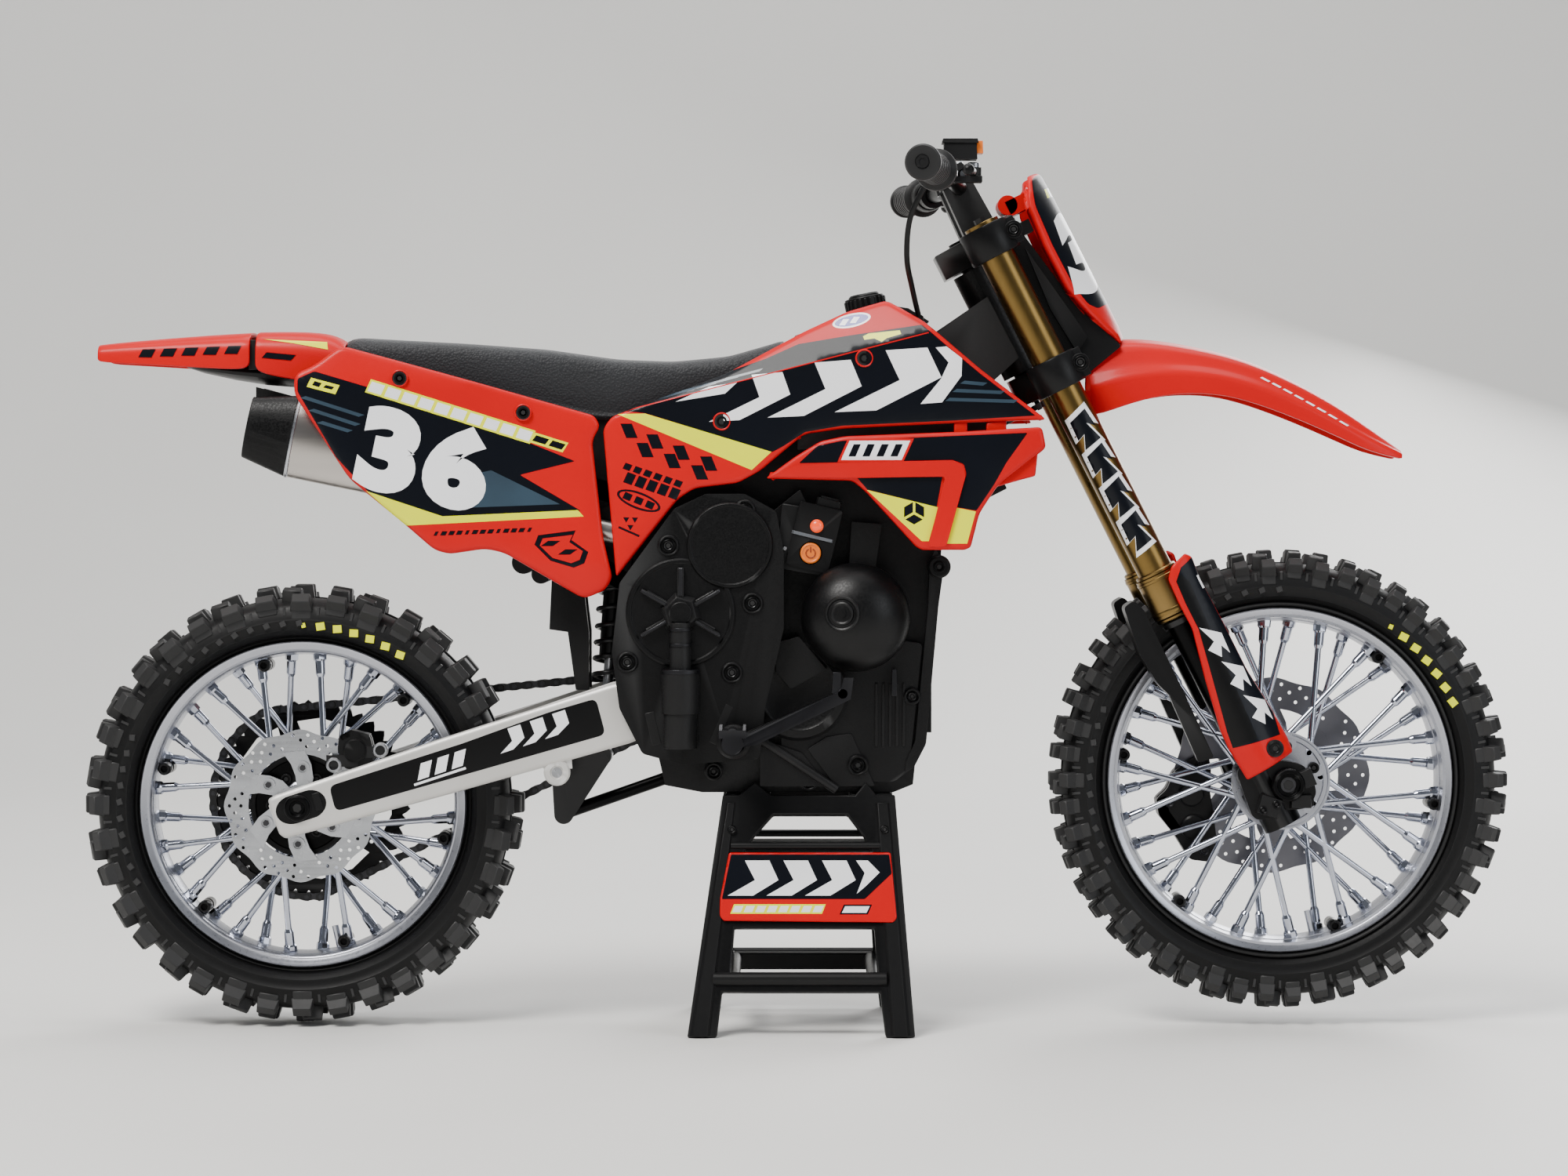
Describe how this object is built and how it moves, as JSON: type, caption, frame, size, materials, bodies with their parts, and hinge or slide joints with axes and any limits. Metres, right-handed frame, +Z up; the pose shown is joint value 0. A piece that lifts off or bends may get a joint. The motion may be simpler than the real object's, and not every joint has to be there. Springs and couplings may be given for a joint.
{
  "type": "rc motorcycle",
  "caption": "Radio-controlled motocross bike with sprung fork and swingarm, spoked wheels, chain drive and a stand that it lifts off.",
  "frame": {"origin": "on the floor, midway between the outer ends of the two tyres, on the middle plane of the bike", "axes": "+X forward, +Y to the rider's left, +Z up"},
  "size_m": [0.544, 0.1998, 0.3294],
  "materials": {
    "red_plastic": "gloss",
    "black_plastic": "satin",
    "black_composite": "matte",
    "gold_anodised": "satin",
    "black_anodised": "satin",
    "swingarm_metal": "satin",
    "rim_metal": "satin",
    "spoke_chrome": "polished",
    "steel": "satin",
    "dark_steel": "satin",
    "tyre_rubber": "matte",
    "grip_rubber": "matte",
    "seat_cover": "grained",
    "spring_paint": "gloss",
    "orange_button": "gloss",
    "battery_wrap": "satin"
  },
  "bodies": {
    "stand": {"stand_sides": "black_composite", "stand_top": "black_composite"},
    "chassis": {"main_frame": "black_composite", "crankcase": "black_composite", "gear_cover": "black_composite", "cover_screws": "dark_steel", "drive_motor": "dark_steel", "battery_pack": "battery_wrap", "control_module": "black_plastic", "crash_bumpers": "black_plastic", "seat": "seat_cover", "tank_cover": "black_plastic", "shrouds": "red_plastic", "side_plates": "red_plastic", "rear_fender": "red_plastic", "muffler": "steel", "muffler_cap": "black_plastic", "foot_pegs": "dark_steel", "steering_servo": "black_plastic"},
    "steering": {"upper_clamp": "black_anodised", "lower_clamp": "black_anodised", "fork_tubes": "gold_anodised", "handlebar": "black_anodised", "grips": "grip_rubber", "number_plate": "red_plastic", "front_fender": "red_plastic", "control_perches": "black_plastic", "throttle_cable": "grip_rubber"},
    "brake_lever_body": {"brake_lever": "black_plastic"},
    "clutch_lever_body": {"clutch_lever": "black_plastic"},
    "fork_lower": {"fork_legs": "black_plastic", "fork_guards": "black_plastic", "front_axle": "dark_steel", "front_caliper": "black_plastic"},
    "front_wheel": {"front_tyre": "tyre_rubber", "front_rim": "rim_metal", "front_spokes": "spoke_chrome", "front_hub": "rim_metal", "front_disc": "steel"},
    "swingarm_body": {"swingarm": "swingarm_metal", "rear_axle": "dark_steel", "chain": "dark_steel", "rear_caliper": "black_plastic"},
    "rear_wheel": {"rear_tyre": "tyre_rubber", "rear_rim": "rim_metal", "rear_spokes": "spoke_chrome", "rear_hub": "rim_metal", "rear_disc": "steel", "rear_sprocket": "dark_steel"},
    "countershaft_body": {"countershaft": "dark_steel"},
    "pinion_body": {"motor_pinion": "dark_steel"},
    "flywheel_body": {"flywheel": "dark_steel"},
    "shock_upper": {"shock_body": "black_anodised"},
    "shock_lower": {"shock_rod": "steel", "shock_spring": "spring_paint"},
    "rocker_body": {"rocker": "black_anodised"},
    "pull_rod_body": {"pull_rod": "black_anodised"},
    "button_body": {"power_button": "orange_button"},
    "horn_body": {"servo_horn": "black_plastic"},
    "link_body": {"steering_link": "dark_steel"}
  },
  "joints": [
    {"name": "lift_off", "type": "slide", "parent": "stand", "child": "chassis", "axis": [0, 0, 1], "range_m": [0, 0.12]},
    {"name": "steering_turn", "type": "hinge", "parent": "chassis", "child": "steering", "pos_m": [0.0894, 0, 0.2434], "axis": [-0.4509, 0, 0.8926], "range_deg": [-30, 30], "deforming": ["throttle_cable"]},
    {"name": "servo_turn", "type": "hinge", "parent": "chassis", "child": "horn_body", "pos_m": [0.06401, 0, 0.21825], "axis": [-0.4509, 0, 0.8926], "range_deg": [-30, 30]},
    {"name": "link_swing", "type": "hinge", "parent": "horn_body", "child": "link_body", "pos_m": [0.06266, 0.009, 0.22093], "axis": [-0.4509, 0, 0.8926], "range_deg": [-30, 30]},
    {"name": "brake_pull", "type": "hinge", "parent": "steering", "child": "brake_lever_body", "pos_m": [0.06445, -0.06156, 0.3204], "axis": [0, 0, -1], "range_deg": [0, 10], "stiffness_Nm_per_rad": 0.02, "springref_deg": -11.46},
    {"name": "clutch_pull", "type": "hinge", "parent": "steering", "child": "clutch_lever_body", "pos_m": [0.06445, 0.06156, 0.3204], "axis": [0, 0, 1], "range_deg": [0, 10], "stiffness_Nm_per_rad": 0.02, "springref_deg": -11.46},
    {"name": "fork_slide", "type": "slide", "parent": "steering", "child": "fork_lower", "axis": [-0.4509, 0, 0.8926], "range_m": [0, 0.05], "stiffness_N_per_m": 400, "springref_m": -0.02},
    {"name": "front_wheel_spin", "type": "hinge", "parent": "fork_lower", "child": "front_wheel", "pos_m": [0.184, 0, 0.0935], "axis": [0, 1, 0], "continuous": true},
    {"name": "swingarm_pivot", "type": "hinge", "parent": "chassis", "child": "swingarm_body", "pos_m": [-0.041, 0, 0.1265], "axis": [0, 1, 0], "range_deg": [0, 18], "stiffness_Nm_per_rad": 8, "springref_deg": -8.59},
    {"name": "rear_wheel_spin", "type": "hinge", "parent": "swingarm_body", "child": "rear_wheel", "pos_m": [-0.188, 0, 0.0843], "axis": [0, 1, 0], "continuous": true},
    {"name": "countershaft_spin", "type": "hinge", "parent": "chassis", "child": "countershaft_body", "pos_m": [-0.041, 0, 0.1265], "axis": [0, 1, 0], "continuous": true},
    {"name": "pinion_spin", "type": "hinge", "parent": "chassis", "child": "pinion_body", "pos_m": [-0.022, 0, 0.14], "axis": [0, 1, 0], "continuous": true},
    {"name": "flywheel_spin", "type": "hinge", "parent": "chassis", "child": "flywheel_body", "pos_m": [-0.0255, 0, 0.183], "axis": [0, 1, 0], "continuous": true},
    {"name": "shock_swing", "type": "hinge", "parent": "chassis", "child": "shock_upper", "pos_m": [-0.068, 0, 0.19], "axis": [0, 1, 0], "range_deg": [0, 7.6]},
    {"name": "shock_stroke", "type": "slide", "parent": "shock_upper", "child": "shock_lower", "axis": [0.0719, 0, 0.9974], "range_m": [0, 0.0186], "deforming": ["shock_spring"]},
    {"name": "rocker_turn", "type": "hinge", "parent": "swingarm_body", "child": "rocker_body", "pos_m": [-0.09, 0, 0.098], "axis": [0, -1, 0], "range_deg": [0, 30]},
    {"name": "pull_rod_turn", "type": "hinge", "parent": "chassis", "child": "pull_rod_body", "pos_m": [-0.0435, 0, 0.0959], "axis": [0, 1, 0], "range_deg": [0, 21]},
    {"name": "button_press", "type": "slide", "parent": "chassis", "child": "button_body", "axis": [0, 1, 0], "range_m": [0, 0.0008], "stiffness_N_per_m": 250, "springref_m": -0.001}
  ],
  "couplings": [
    {"joint": "servo_turn", "follows": "steering_turn", "ratio": 1},
    {"joint": "link_swing", "follows": "steering_turn", "ratio": -1},
    {"joint": "countershaft_spin", "follows": "rear_wheel_spin", "ratio": 4.8},
    {"joint": "pinion_spin", "follows": "rear_wheel_spin", "ratio": -15.086},
    {"joint": "rocker_turn", "follows": "swingarm_pivot", "ratio": 1.6526},
    {"joint": "pull_rod_turn", "follows": "swingarm_pivot", "ratio": 1.1374},
    {"joint": "shock_stroke", "follows": "swingarm_pivot", "m_per_rad": 0.058384},
    {"joint": "shock_swing", "follows": "swingarm_pivot", "ratio": 0.4151}
  ]
}
